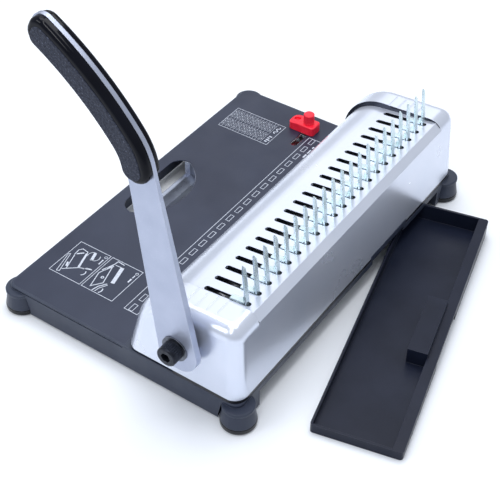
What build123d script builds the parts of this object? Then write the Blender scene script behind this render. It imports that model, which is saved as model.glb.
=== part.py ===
from build123d import *
import os
from math import asin, cos, degrees, hypot, pi, radians, sin, tan

# Comb binding machine, in millimetres.
# +X points to the lever side, -Y to the table (the user's side), +Z up.
# The functions draw every piece with the origin on the floor, under the middle of the base.
# The exported parts are moved so that their origin is on the floor under the middle of the
# whole object's box, pulled-out drawer and lever included.

# ---- driving dimensions ----
BASE_LENGTH = 366.0          # skirt, along X
BASE_DEPTH = 244.8           # skirt, along Y
BASE_TOP = 25.9              # height of the table surface
BASE_CORNER = 8.0
SKIRT_BOTTOM = 2.0
SKIRT_WALL = 2.5
POST_RADIUS = 12.6           # column at each corner, under its lip
POST_FOOT_RADIUS = 15.1      # column where it meets the foot
POST_LIP = 13.8              # lip over the column
LIP_TOP = 22.4
POST_GAP = 1.5               # groove between column and skirt
POST_BAY = 18.0              # solid corner of the skirt round the column
FOOT_RADIUS = 15.4
FOOT_HEIGHT = 6.0
POST_X = 175.4
POST_FRONT_Y = -113.1
POST_REAR_Y = 117.2
TABLE_SHEET = 1.0

PITCH = 14.2875              # comb pitch, nine sixteenths of an inch
HOLES = 21
WALL = 2.5                   # housing shell
HOUSING_END = 182.6          # outer end faces of the housing at the bottom
CAP_INNER_X = 150.0          # where the raised end caps begin
THROAT_Z = 28.7              # top of the paper throat
THROAT_Y = 57.5              # end of the open throat, seen from the side

PIVOT_Y = 70.0
PIVOT_Z = 72.0
SHAFT_RADIUS = 7.0
ARM_INNER_X = 187.5
ARM_OUTER_X = 193.5
ARM_LEAN = 8.75              # degrees, towards the table
PUNCH_Y = 54.0
BAR_TOP = PIVOT_Z - 14.6      # punch bar at rest

SLOT_FRONT = 61.6
SLOT_REAR = 105.4
SLOT_WIDTH = 4.8
TINE_Y = 101.8
TINE_TOP = 135.5
TINE_WIDTH = 4.2

RUN = 0.05                   # radial clearance of a running fit
GAP = 0.3                    # clearance between bodies that only pass each other

DRAWER_LENGTH = 287.0
DRAWER_WIDTH = 77.0
DRAWER_HIGH = 18.4           # far end wall
DRAWER_LOW = 9.0             # lever-side end wall
DRAWER_SKEW = 12.7           # degrees, as it stands pulled out
DRAWER_CENTRE = (3.9, 175.3)
DRAWER_LIFT = 0.3            # off the floor, so that the feet alone carry the machine
DRAWER_WALL = 2.0
DRAWER_CORNER = 3.0


def block(x0, x1, y0, y1, z0, z1):
    """Box between two corners."""
    size = (x1 - x0, y1 - y0, z1 - z0)
    return Pos((x0 + x1) / 2, (y0 + y1) / 2, (z0 + z1) / 2) * Box(*size)


def rod_x(x0, x1, y, z, radius):
    """Cylinder along X."""
    return Pos((x0 + x1) / 2, y, z) * Rot(0, 90, 0) * Cylinder(radius, x1 - x0)


def rod_z(x, y, z0, z1, radius):
    """Upright cylinder."""
    return Pos(x, y, (z0 + z1) / 2) * Cylinder(radius, z1 - z0)


def rounded_plate(length, depth, corner, z0, z1, x=0.0, y=0.0):
    """Flat plate with round corners, lying in XY."""
    outline = Pos(x, y, z0) * RectangleRounded(length, depth, corner)
    return extrude(outline, z1 - z0)


def along_x(outline, x0, x1):
    """Extrusion along X of a sketch whose own x is the machine's Y and own y is Z."""
    plane = Plane(origin=(x0, 0, 0), x_dir=(0, 1, 0), z_dir=(1, 0, 0))
    return extrude(plane * outline, x1 - x0)


def slot_places():
    """X of each comb slot, from the lever side."""
    return [PITCH * (HOLES // 2 - k) for k in range(HOLES)]


def corner_places():
    return [(side * POST_X, y) for side in (-1, 1) for y in (POST_FRONT_Y, POST_REAR_Y)]


def joined(solids):
    """Separate solids kept as one node."""
    return Compound([s for item in solids for s in item.solids()])


# ---- base ----
BAY_X = 153.0                # half length of the drawer bay
BAY_FRONT_Y = 41.0
BAY_TOP = 19.2               # underside of the strip above the drawer
NOTCH_X = (-88.0, -24.5)     # raised finger cut-out in the strip
NOTCH_RISE = 5.0
GRIP_X = 46.5                # half length of the carry-grip opening
GRIP_FRONT_Y = -109.5
GRIP_REAR_Y = -66.5
GUIDE_SLOT_X = (-173.0, -126.5)
GUIDE_SLOT_Y = -28.0
GUIDE_SLOT_WIDTH = 7.6
SHEET_REAR_Y = 6.0
LIP_BOTTOM = 19.6
DECK_UNDERSIDE = BASE_TOP - TABLE_SHEET - 2.2
SCREW_RADIUS = 1.6
SHEET_EDGE = 2.2             # rim of the base that frames the table sheet
RIM_CHAMFER = 0.8
RIM_GROOVE = (23.3, 24.6)    # heights of the shadow line under the rim
RIM_GROOVE_DEPTH = 1.1


def grip_outline(grow=0.0):
    """D-shaped carry-grip opening: nearly straight at the front, bowed to the rear."""
    left = (-GRIP_X - grow, -95.0)
    right = (GRIP_X + grow, -95.0)
    rear = (0, GRIP_REAR_Y + grow)
    front = GRIP_FRONT_Y - grow
    bow = ThreePointArc(left, rear, right)
    nose = 13.5
    outline = make_face([bow, Polyline(right, (right[0] - 3.0, front), (left[0] + 3.0, front), left)])
    corners = outline.vertices().sort_by(Axis.Y)[:2]
    return fillet(corners, nose)


def lip_disc(x, y):
    """Round lip above a column, a little under the deck, with an eased top edge."""
    disc = rod_z(x, y, LIP_BOTTOM, LIP_TOP, POST_LIP)
    return fillet(disc.edges().group_by(Axis.Z)[-1], 1.2)


def cone_z(x, y, z0, z1, low_radius, high_radius):
    """Upright cone frustum."""
    return Pos(x, y, (z0 + z1) / 2) * Cone(low_radius, high_radius, z1 - z0)


def rim_ring(z0, z1, depth):
    """Band of the skirt's outer surface between two heights."""
    band = rounded_plate(BASE_LENGTH + 2, BASE_DEPTH + 2, BASE_CORNER + 1, z0, z1)
    kept = rounded_plate(BASE_LENGTH - 2 * depth, BASE_DEPTH - 2 * depth, BASE_CORNER - depth, z0, z1)
    return band - kept


def base_tray():
    """One moulding: skirt, table deck, corner columns, drawer bay walls and ribs."""
    tray = rounded_plate(BASE_LENGTH, BASE_DEPTH, BASE_CORNER, SKIRT_BOTTOM, BASE_TOP)
    tray = chamfer(tray.faces().sort_by(Axis.Z)[-1].edges(), RIM_CHAMFER)
    inner = (BASE_LENGTH - 2 * SKIRT_WALL, BASE_DEPTH - 2 * SKIRT_WALL)
    outer = tray
    tray -= rounded_plate(*inner, BASE_CORNER - SKIRT_WALL, SKIRT_BOTTOM, DECK_UNDERSIDE)
    for x, y in corner_places():
        tray += outer & rod_z(x, y, SKIRT_BOTTOM, DECK_UNDERSIDE, POST_BAY + SKIRT_WALL)
    for x, y in corner_places():
        gap = (POST_FOOT_RADIUS + POST_GAP, POST_RADIUS + POST_GAP)
        tray -= cone_z(x, y, FOOT_HEIGHT, LIP_BOTTOM, *gap)
        tray -= rod_z(x, y, 0, FOOT_HEIGHT, gap[0])
        tray += cone_z(x, y, FOOT_HEIGHT, LIP_BOTTOM, POST_FOOT_RADIUS, POST_RADIUS) + lip_disc(x, y)
    tray -= rim_ring(*RIM_GROOVE, RIM_GROOVE_DEPTH) & block(-200, 200, -200, SHEET_REAR_Y, 0, 60)
    front_wall = BAY_FRONT_Y - SKIRT_WALL
    tray += block(-BAY_X - 3, BAY_X + 3, front_wall, BAY_FRONT_Y, SKIRT_BOTTOM, DECK_UNDERSIDE)
    for side in (-1, 1):
        x0, x1 = sorted((side * BAY_X, side * (BAY_X + SKIRT_WALL)))
        tray += block(x0, x1, BAY_FRONT_Y, BASE_DEPTH / 2 - 1, SKIRT_BOTTOM, DECK_UNDERSIDE)
    for x in (-110.0, -55.0, 55.0, 110.0):
        tray += block(x - 1, x + 1, -BASE_DEPTH / 2 + 1, GRIP_FRONT_Y - 6, 10.0, DECK_UNDERSIDE)
        tray += block(x - 1, x + 1, GRIP_REAR_Y + 8, BAY_FRONT_Y - 2, 10.0, DECK_UNDERSIDE)
    half_sheet = BASE_LENGTH - 2 * SHEET_EDGE
    sheet_front = -BASE_DEPTH / 2 + SHEET_EDGE
    recess = rounded_plate(
        half_sheet, 2 * -sheet_front, BASE_CORNER - SHEET_EDGE, BASE_TOP - TABLE_SHEET, BASE_TOP + 1
    )
    tray -= recess & block(-200, 200, -200, SHEET_REAR_Y, 0, 60)
    tray -= block(-BAY_X, BAY_X, BAY_FRONT_Y, 118.0, DECK_UNDERSIDE - 1, BASE_TOP + 1)
    tray -= block(-BAY_X, BAY_X, 110.0, BASE_DEPTH / 2 + 1, 0, BAY_TOP)
    rear = BASE_DEPTH / 2
    tray += block(*NOTCH_X, rear - 2.4, rear, BASE_TOP - 1, BASE_TOP + NOTCH_RISE)
    tray -= block(NOTCH_X[0] + 3, NOTCH_X[1] - 3, 116.0, rear + 1, 0, BAY_TOP + NOTCH_RISE)
    tray -= extrude(grip_outline(2.4), BASE_TOP + 1)
    tray -= block(*GUIDE_SLOT_X, GUIDE_SLOT_Y - 7, GUIDE_SLOT_Y + 7, 0, BASE_TOP)
    for x, y in corner_places():
        tray -= rod_z(x, y, 0, FOOT_HEIGHT + PLUG_HEIGHT, PLUG_RADIUS)
        tray -= rod_z(x, y, 0, 19.0, SCREW_RADIUS)
    for x, y in cover_screw_places():
        tray -= rod_z(x, y, 0, DECK_UNDERSIDE, 4.0)
        tray -= rod_z(x, y, 20.0, BASE_TOP + 1, SCREW_RADIUS)
    for x, y in flange_screw_places():
        tray -= rod_z(x, y, 20.0, BASE_TOP + 1, SCREW_RADIUS)
    return tray


PLUG_RADIUS = 9.0
PLUG_HEIGHT = 3.0


def rubber_feet():
    """Turned rubber disc under each column, with a plug that sits in the column."""
    feet = []
    for x, y in corner_places():
        pad = rod_z(x, y, 0, FOOT_HEIGHT, FOOT_RADIUS)
        pad = fillet(pad.edges().group_by(Axis.Z)[0], 2.2)
        pad = fillet(pad.edges().group_by(Axis.Z)[-1], 1.4)
        foot = pad + rod_z(x, y, FOOT_HEIGHT, FOOT_HEIGHT + PLUG_HEIGHT, PLUG_RADIUS)
        foot -= rod_z(x, y, 0, 3.0, 4.2)
        foot -= rod_z(x, y, 0, 12.0, SCREW_RADIUS)
        feet.append(foot)
    return joined(feet)


def foot_screws():
    screws = []
    for x, y in corner_places():
        screws.append(rod_z(x, y, 1.0, 3.0, 3.4) + rod_z(x, y, 3.0, 18.0, SCREW_RADIUS))
    return joined(screws)


def table_plate():
    """Printed sheet let into the deck."""
    length = BASE_LENGTH - 2 * SHEET_EDGE
    depth = BASE_DEPTH - 2 * SHEET_EDGE
    sheet = rounded_plate(length, depth, BASE_CORNER - SHEET_EDGE, BASE_TOP - TABLE_SHEET, BASE_TOP)
    sheet = sheet & block(-200, 200, -200, SHEET_REAR_Y, 0, 60)
    sheet -= extrude(grip_outline(), BASE_TOP + 1)
    half = GUIDE_SLOT_WIDTH / 2
    slot = Pos((GUIDE_SLOT_X[0] + GUIDE_SLOT_X[1]) / 2, GUIDE_SLOT_Y, 20) * SlotOverall(
        GUIDE_SLOT_X[1] - GUIDE_SLOT_X[0] - 2, 2 * half
    )
    return sheet - extrude(slot, 10)


def grip_cup():
    """Scoop in the carry-grip opening: slopes down from the rear rim to a rolled front lip."""
    rim = extrude(grip_outline(2.1), BASE_TOP - TABLE_SHEET - 4.0)
    rim = Pos(0, 0, 4.0) * rim
    lip_y = -99.0
    hollow = Polyline(
        (GRIP_REAR_Y - 0.6, 60), (GRIP_REAR_Y - 0.6, 23.0), (-80.0, 15.5), (lip_y + 4, 11.0),
        (lip_y, 11.5), (lip_y, 0), (-140.0, 0), (-140.0, 60), close=True,
    )
    hollow = fillet(make_face(hollow).vertices().filter_by_position(Axis.X, -95.5, -79.0), 5.0)
    inside = along_x(hollow, -60, 60) & extrude(grip_outline(-0.4), 60)
    under = Polyline(
        (GRIP_REAR_Y + 4, 0), (GRIP_REAR_Y + 4, 14.0), (-80.0, 13.5 - 0.5), (lip_y + 5, 8.0),
        (lip_y + 1.5, 8.0), (lip_y + 1.5, 0), close=True,
    )
    below = along_x(make_face(under), -60, 60) & extrude(grip_outline(0.6), 60)
    return (rim - inside - below) & block(-60, 60, lip_y - 1.3, -60, 0, 60)


def guide_rail():
    """Folded steel strip under the table that the guide's stud slides in."""
    x0, x1 = GUIDE_SLOT_X
    y = GUIDE_SLOT_Y
    rail = block(x0, x1, y - 7, y + 7, 15.0, BASE_TOP - TABLE_SHEET)
    rail -= block(x0 + 1, x1 - 1, y - 6, y + 6, 16.2, BASE_TOP - TABLE_SHEET - 1.2)
    return rail - block(x0 + 2, x1 - 2, y - 3, y + 3, 20.0, 30.0)


# ---- housing ----
CAP_FRONT = ((8.0, 26.0), (18.0, 66.0))
CAP_ARC = 42.0
CAP_SLOPE = 3.0
MAIN_TOP_Y = 52.0
MAIN_ARC = 36.0
PANEL_SLOPE = 6.1
PANEL_Z = 92.8               # panel height at the front end of the slots
REAR_Y = 122.4
REAR_DRAFT = 3.4
END_DRAFT = 3.0
CAP_EDGE = 12.0


def panel_z(y):
    """Height of the slotted panel."""
    return PANEL_Z + tan(radians(PANEL_SLOPE)) * (y - SLOT_FRONT)


def rear_y(z):
    """Rear face of the housing, leaning forward with height."""
    return REAR_Y - tan(radians(REAR_DRAFT)) * (z - BASE_TOP)


def front_lean(start, end):
    """Angle above horizontal of the line between two points."""
    return degrees(asin((end[1] - start[1]) / hypot(end[0] - start[0], end[1] - start[1])))


def profile(inset, cap, bottom):
    """Cross-section of the housing, inset from its outer surface; own x is the machine's Y."""
    if cap:
        lean = front_lean(*CAP_FRONT)
        slope = CAP_SLOPE
        radius = CAP_ARC
        knee_y, knee_z = CAP_FRONT[1]
    else:
        lean = front_lean(*CAP_FRONT)
        slope = PANEL_SLOPE
        radius = MAIN_ARC
        knee_y = MAIN_TOP_Y - radius * (sin(radians(lean)) - sin(radians(slope)))
        knee_z = panel_z(MAIN_TOP_Y) - radius * (cos(radians(slope)) - cos(radians(lean)))
    centre_y = knee_y + radius * sin(radians(lean))
    centre_z = knee_z - radius * cos(radians(lean))
    r = radius - inset
    knee = (centre_y - r * sin(radians(lean)), centre_z + r * cos(radians(lean)))
    middle = (lean + slope) / 2
    crest = (centre_y - r * sin(radians(middle)), centre_z + r * cos(radians(middle)))
    top = (centre_y - r * sin(radians(slope)), centre_z + r * cos(radians(slope)))
    foot = (knee[0] - (knee[1] - bottom) / tan(radians(lean)), bottom)
    rise = tan(radians(slope))
    shift = inset / cos(radians(REAR_DRAFT))
    corner_y = 114.0
    for _ in range(8):
        corner_z = top[1] + rise * (corner_y - top[0])
        corner_y = rear_y(corner_z) - shift
    rear_foot = (rear_y(bottom) - shift, bottom)
    outline = make_face([
        Line(foot, knee),
        ThreePointArc(knee, crest, top),
        Polyline(top, (corner_y, corner_z), rear_foot, foot),
    ])
    corner = outline.vertices().sort_by_distance((corner_y, corner_z, 0))[0]
    if cap:
        return fillet(corner, CAP_EDGE + 1 - inset)
    return chamfer(corner, 6.4 - inset * 0.5)


def cap_block(inset, bottom):
    """Raised end cap on the +X side, with drafted end face and rolled edges."""
    end_x = HOUSING_END - inset
    cap = along_x(profile(inset, True, bottom), CAP_INNER_X + inset, end_x)
    end_face = cap.faces().sort_by(Axis.X)[-1]
    cap = draft(end_face, Plane.XY.offset(BASE_TOP), END_DRAFT)
    end_face = cap.faces().sort_by(Axis.X)[-1]
    rolled = [e for e in end_face.edges() if e.center().Z > bottom + 0.1]
    return fillet(rolled, CAP_EDGE - inset)


def housing_block(inset, bottom):
    """Whole housing as a filled block."""
    middle = along_x(profile(inset, False, bottom), -CAP_INNER_X - inset, CAP_INNER_X + inset)
    cap = cap_block(inset, bottom)
    return middle + cap + mirror(cap, Plane.YZ)


def housing_cover():
    """Painted shell with one slot per comb hole and a paper throat below its front."""
    shell = housing_block(0.0, BASE_TOP) - housing_block(WALL, 20.0)
    shell -= block(-200, 200, -20, THROAT_Y, 20, THROAT_Z)
    slot = extrude(Pos(0, (SLOT_FRONT + SLOT_REAR) / 2, 80) * Rot(0, 0, 90) * SlotOverall(
        SLOT_REAR - SLOT_FRONT, SLOT_WIDTH
    ), 40)
    for x in slot_places():
        shell -= Pos(x, 0, 0) * slot
    cap_z = 98.2
    for side in (-1, 1):
        for row in range(4):
            y = 62.5 + 9.3 * row
            z = cap_z + 0.052 * (y - 56.7)
            groove = block(side * 159 - 9, side * 159 + 9, y - 0.6, y + 0.6, z - 0.7, z + 3)
            shell -= groove
    shell -= rod_x(170, 190, PIVOT_Y, PIVOT_Z, SHAFT_RADIUS + 3.6)
    shell -= block(NOTCH_X[0] - GAP / 2, NOTCH_X[1] + GAP / 2, 115, 130, 20, BASE_TOP + NOTCH_RISE + 0.1)
    for x, y in cover_screw_places():
        boss = rod_z(x, y, BASE_TOP, 44.0, 5.0) + block(x - 1, x + 1, y, 121.0, 30.0, 44.0)
        shell += boss & housing_block(0.5, BASE_TOP)
        shell -= rod_z(x, y, 20, 40, SCREW_RADIUS)
    return shell


def cover_screw_places():
    return [(side * 161.0, 107.0) for side in (-1, 1)]


def cover_screws():
    screws = []
    for x, y in cover_screw_places():
        head = rod_z(x, y, DECK_UNDERSIDE - 2.2, DECK_UNDERSIDE, 3.2)
        screws.append(head + rod_z(x, y, DECK_UNDERSIDE, 38.0, SCREW_RADIUS))
    return joined(screws)


# ---- fixed mechanism ----
FRAME_X = 163.0              # inner face of each side frame
FRAME_THICK = 3.0
DIE_Y = (43.5, 57.0)


def side_frame(side):
    """Steel plate that carries the shaft, with a foot flange on the deck."""
    outline = Polyline((45, BASE_TOP), (100, BASE_TOP), (100, 60), (88, 83), (54, 83), (45, 60), close=True)
    outline = make_face(outline)
    outline = fillet(outline.vertices().filter_by_position(Axis.Y, 50, 90), 6.0)
    plate = along_x(outline, FRAME_X, FRAME_X + FRAME_THICK)
    plate -= block(160, 170, 0, THROAT_Y, 20, THROAT_Z + 0.4)
    plate += block(FRAME_X - 8, FRAME_X, 62, 100, BASE_TOP, 28.5)
    plate -= rod_x(150, 180, PIVOT_Y, PIVOT_Z, SHAFT_RADIUS + 2.0)
    for x, y in flange_screw_places():
        plate -= rod_z(x, y, 20, 30, SCREW_RADIUS)
    for y, z in frame_bolt_places():
        plate -= rod_x(150, 180, y, z, SCREW_RADIUS)
    return plate if side > 0 else mirror(plate, Plane.YZ)


def flange_screw_places():
    """Screws that hold the side frames down on the deck, as (X, Y)."""
    return [(side * (FRAME_X - 4), y) for side in (-1, 1) for y in (68.0, 92.0)]


def frame_bolt_places():
    """Screws that tie the side frames to the tie bar and the die plates, as (Y, Z)."""
    return [(93.0, 50.0), (50.0, 32.6)]


def frame_screws():
    screws = []
    for side in (-1, 1):
        for y, z in frame_bolt_places():
            inner = FRAME_X - 9
            outer = FRAME_X + FRAME_THICK
            shank = rod_x(inner, outer, y, z, SCREW_RADIUS) + rod_x(outer, outer + 2.2, y, z, 3.0)
            screws.append(shank if side > 0 else mirror(shank, Plane.YZ))
    for x, y in flange_screw_places():
        screws.append(rod_z(x, y, DECK_UNDERSIDE, 28.5, SCREW_RADIUS) + rod_z(x, y, 28.5, 30.5, 3.0))
    return joined(screws)


def tie_bar():
    bar = block(-FRAME_X, FRAME_X, 88.0, 98.0, 45.0, 55.0)
    for side in (-1, 1):
        bar -= rod_x(min(side * 150, side * 170), max(side * 150, side * 170), 93.0, 50.0, 1.6)
    return bar


def die_holes(z0, z1, clearance):
    """Rectangular punch holes through a die plate."""
    holes = []
    for x in slot_places():
        holes.append(block(x - 4 - clearance, x + 4 + clearance, PUNCH_Y - 1.3 - clearance,
                           PUNCH_Y + 1.3 + clearance, z0, z1))
    return holes


def lower_die():
    """Hardened plate level with the table, where the pins cut."""
    die = block(-152.5, 152.5, BAY_FRONT_Y, DIE_Y[1] + 6.0, 20.5, BASE_TOP)
    for hole in die_holes(10, 40, 0.08):
        die -= hole
    return die


def pin_guide():
    """Upper plate that guides the pins and forms the top of the throat."""
    guide = block(-FRAME_X, FRAME_X, DIE_Y[0], DIE_Y[1], THROAT_Z, 36.4)
    for hole in die_holes(20, 50, 0.08):
        guide -= hole
    for side in (-1, 1):
        guide -= rod_x(min(side * 150, side * 170), max(side * 150, side * 170), 50.0, 32.6, 1.6)
    return guide


def paper_stop():
    """Bar that the paper's edge meets behind the punch line."""
    return block(-152.0, 152.0, DIE_Y[1] + 0.5, DIE_Y[1] + 6.0, BASE_TOP, 36.4)


def shaft_bushes():
    bushes = []
    for side in (-1, 1):
        inner = side * (FRAME_X - 1.0)
        outer = side * (FRAME_X + FRAME_THICK + 1.0)
        x0, x1 = sorted((inner, outer))
        bush = rod_x(x0, x1, PIVOT_Y, PIVOT_Z, SHAFT_RADIUS + 2.0)
        flange_x = sorted((side * (FRAME_X + FRAME_THICK), side * (FRAME_X + FRAME_THICK + 1.5)))
        bush += rod_x(*flange_x, PIVOT_Y, PIVOT_Z, SHAFT_RADIUS + 4.5)
        bushes.append(bush - rod_x(x0 - 5, x1 + 5, PIVOT_Y, PIVOT_Z, SHAFT_RADIUS + RUN))
    return joined(bushes)


def tine(x):
    """Upright zinc-plated strip, narrowed to a one-sided point, leaning to the table."""
    low_z = 84.5
    half = TINE_WIDTH / 2
    point = Polyline((-half, low_z), (-half, 126.5), (-1.0, TINE_TOP - 2.6), (-0.2, TINE_TOP - 3.2),
                     (0.9, TINE_TOP), (1.6, TINE_TOP - 1.4), (half, 126.5), (half, low_z), close=True)
    plane = Plane(origin=(x, TINE_Y + 0.9, 0), x_dir=(1, 0, 0), z_dir=(0, -1, 0))
    strip = extrude(plane * make_face(point), 1.5)
    lean = Pos(x, TINE_Y, panel_z(TINE_Y)) * Rot(5.6, 0, 0) * Pos(-x, -TINE_Y, -panel_z(TINE_Y))
    upper = lean * (strip & block(x - 5, x + 5, 90, 110, panel_z(TINE_Y) - 2, 150))
    lower = block(x - half, x + half, TINE_Y - 0.6, TINE_Y + 0.9, low_z, panel_z(TINE_Y) - 1)
    return upper + lower


def comb_rail():
    """Angle strip under the panel with one tine per slot."""
    rail = block(-156, 156, TINE_Y - 0.6, TINE_Y + 0.9, 66.0, 85.0)
    rail += block(-156, 156, TINE_Y + 0.9, TINE_Y + 9.0, 66.0, 68.0)
    for x in slot_places():
        rail += tine(x)
    return rail


def rack_guides():
    """Brackets at both ends whose grooves carry the hook rack."""
    brackets = []
    for side in (-1, 1):
        x0, x1 = sorted((side * 153.0, side * 161.5))
        bracket = block(x0, x1, 56.0, TINE_Y - 0.6, 82.6, 89.2)
        groove = sorted((side * 150.0, side * 158.0))
        bracket -= block(*groove, 50.0, 100.5, 84.0 - 0.15, 86.0 + 0.15)
        x2, x3 = sorted((side * 161.5, side * (FRAME_X)))
        bracket += block(x2, x3, 80.5, 88.0, 70.0, 89.2)
        brackets.append(bracket)
    return joined(brackets)


def spring_places():
    return [-120.0, 120.0]


def spring_posts():
    """Pins that keep the return springs upright, standing on the pin guide's foot."""
    posts = []
    for x in spring_places():
        foot = block(x - 7, x + 7, 64.5, 79.0, BASE_TOP, 30.0)
        posts.append(foot + rod_z(x, 71.5, 30.0, 44.0, 2.0))
    bridge = []
    for x in spring_places():
        bridge.append(block(x - 7, x + 7, 63.0, 64.5, 21.0, 30.0))
    return joined([post + link for post, link in zip(posts, bridge)])


def return_springs():
    """Coil springs that lift the punch bar."""
    coils = []
    low = 30.4
    high = BAR_TOP - 12.0 - 0.2
    wire = 0.6
    turns = 7
    for x in spring_places():
        helix = Helix((high - low - 2 * wire) / turns, high - low - 2 * wire, 4.2)
        path = Pos(x, 71.5, low + wire) * helix
        start = path @ 0
        section = Plane(origin=start, z_dir=path % 0) * Circle(wire)
        coils.append(sweep(section, path, is_frenet=True))
    return joined(coils)


# ---- lever ----
def lean_point(along, across=0.0):
    """Point (Y, Z) measured from the pivot along the leaning arm, and across it to the rear."""
    a = radians(ARM_LEAN)
    return (PIVOT_Y - along * sin(a) + across * cos(a), PIVOT_Z + along * cos(a) + across * sin(a))


BEND_START = 166.0           # straight part of the arm, from the pivot
GRIP_ARC = 238.0             # radius of the grip's centre line
GRIP_SWEEP = 24.3            # degrees that the grip turns
BEND_RADIUS = 45.0           # tighter bend at the grip's lower end
BEND_SWEEP = 28.25
CORE_FRONT = 12.3            # half widths of the tongue, front and rear
CORE_REAR = 12.4
TONGUE_INNER_X = 188.7       # faces of the thinner tongue inside the grip
TONGUE_OUTER_X = 192.3
TAPER_Z = (100.0, 222.0)     # the plate thins between these heights


def lever_path(offset, trim=0.0):
    """Arcs (Y, Z) of the lever's edge, offset to the rear of its centre line.

    trim shortens the last arc, in degrees.
    """
    spine = []
    heading = radians(ARM_LEAN)
    y, z = lean_point(BEND_START)
    pieces = ((BEND_RADIUS, BEND_SWEEP), (GRIP_ARC, GRIP_SWEEP - trim))
    for radius, sweep_angle in pieces:
        centre = (y - radius * cos(heading), z - radius * sin(heading))
        ends = []
        for part in (0.0, 0.5, 1.0):
            a = heading + radians(sweep_angle) * part
            r = radius + offset
            ends.append((centre[0] + r * cos(a), centre[1] + r * sin(a)))
        spine.append(ends)
        heading += radians(sweep_angle)
        y = centre[0] + radius * cos(heading)
        z = centre[1] + radius * sin(heading)
    return spine


def lever_end(rear_side, front_side):
    """Edges of the upper end, from the rear of the bend over the tip to its front."""
    return [
        ThreePointArc(*rear_side[0]),
        ThreePointArc(*rear_side[1]),
        Line(rear_side[1][2], front_side[1][2]),
        ThreePointArc(*reversed(front_side[1])),
        ThreePointArc(*reversed(front_side[0])),
    ]


def tip_rounded(face, rear_side, front_side, radius):
    """Outline with its two upper corners rounded."""
    corners = [rear_side[1][2], front_side[1][2]]
    tip = [face.vertices().sort_by_distance((*p, 0))[0] for p in corners]
    return fillet(tip, radius)


def lever_outline():
    """Core plate: an eye round the pivot, a tapering arm and the curved grip tongue."""
    rear_side = lever_path(CORE_REAR)
    front_side = lever_path(-CORE_FRONT)
    low_rear = lean_point(-1.0, 19.2)
    low_front = lean_point(-1.0, -16.8)
    edges = [Line(low_rear, rear_side[0][0])] + lever_end(rear_side, front_side)
    edges.append(Line(front_side[0][0], low_front))
    edges.append(ThreePointArc(low_front, lean_point(-22.4, 1.0), low_rear))
    return tip_rounded(make_face(edges), rear_side, front_side, 10.2)


def grip_outline_arc(front, rear, trim):
    """Outline of a grip half: follows the curved tongue, with a half-round lower end."""
    rear_side = lever_path(rear, trim)
    front_side = lever_path(-front, trim)
    low_tip = lean_point(BEND_START - (front + rear) / 2, (rear - front) / 2)
    edges = lever_end(rear_side, front_side)
    edges.append(ThreePointArc(front_side[0][0], low_tip, rear_side[0][0]))
    return tip_rounded(make_face(edges), rear_side, front_side, (front + rear) / 2 - 1.5)


def taper_cut(face_x, tongue_x):
    """What is taken off one side of the plate so that it thins towards the grip."""
    away = face_x + (face_x - tongue_x) * 4
    outline = Polyline(
        (face_x, TAPER_Z[0]), (tongue_x, TAPER_Z[1]), (tongue_x, 400), (away, 400), (away, TAPER_Z[0]),
        close=True,
    )
    return extrude(Pos(0, 100, 0) * Rot(90, 0, 0) * make_face(outline), 240)


def lever_arm():
    """Core plate of the lever, from the pivot eye to the end of the grip."""
    plate = along_x(lever_outline(), ARM_INNER_X, ARM_OUTER_X)
    plate -= rod_x(ARM_INNER_X - 1, ARM_OUTER_X + 1, PIVOT_Y, PIVOT_Z, 5.0)
    plate -= rod_x(ARM_INNER_X - 1, ARM_INNER_X + 2, PIVOT_Y, PIVOT_Z, SHAFT_RADIUS)
    plate -= taper_cut(ARM_OUTER_X, TONGUE_OUTER_X)
    plate -= taper_cut(ARM_INNER_X, TONGUE_INNER_X)
    for y, z in grip_screw_places():
        plate -= rod_x(ARM_INNER_X - 1, ARM_OUTER_X + 1, y, z, SCREW_RADIUS)
    return plate


def grip_screw_places():
    """Screws through the grip halves, on the grip's centre line."""
    arc = lever_path(0)[1]
    heading = radians(ARM_LEAN + BEND_SWEEP)
    centre = (arc[0][0] - GRIP_ARC * cos(heading), arc[0][1] - GRIP_ARC * sin(heading))
    places = []
    for share in (0.12, 0.85):
        a = heading + radians(GRIP_SWEEP) * share
        places.append((centre[0] + GRIP_ARC * cos(a), centre[1] + GRIP_ARC * sin(a)))
    return places


GRIP_SHELL = 6.4             # thickness of each grip half
HALF_FRONT = 11.2            # half widths of the grip halves
HALF_REAR = 12.0
HALF_TRIM = 0.25             # degrees that the halves end before the tongue
INLAY_FRONT = 9.6
INLAY_REAR = 6.4
INLAY_TRIM = 1.4
INLAY_SINK = 1.6             # depth of its pocket
INLAY_THICK = 2.2


def grip_half(side):
    """Glossy half shell of the grip; the outer one has a pocket for the inlay."""
    x0 = TONGUE_OUTER_X if side > 0 else TONGUE_INNER_X - GRIP_SHELL
    x1 = x0 + GRIP_SHELL
    shell = along_x(grip_outline_arc(HALF_FRONT, HALF_REAR, HALF_TRIM), x0, x1)
    far_face = shell.faces().sort_by(Axis.X)[-1 if side > 0 else 0]
    shell = fillet(far_face.edges(), 4.0)
    if side > 0:
        shell -= along_x(grip_outline_arc(INLAY_FRONT, INLAY_REAR, INLAY_TRIM), x1 - INLAY_SINK, x1 + 1)
        for y, z in grip_screw_places():
            shell -= rod_x(x0 - 1, x0 + 3.0, y, z, SCREW_RADIUS)
    else:
        for y, z in grip_screw_places():
            shell -= rod_x(x0 - 1, x1 + 1, y, z, SCREW_RADIUS)
            shell -= rod_x(x0 - 1, x0 + 2.2, y, z, 3.0)
    return shell


def grip_inlay():
    """Soft pad set in the outer half, standing slightly proud."""
    x0 = TONGUE_OUTER_X + GRIP_SHELL - INLAY_SINK
    pad = along_x(grip_outline_arc(INLAY_FRONT, INLAY_REAR, INLAY_TRIM), x0, x0 + INLAY_THICK)
    return fillet(pad.faces().sort_by(Axis.X)[-1].edges(), 0.7)


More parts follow.
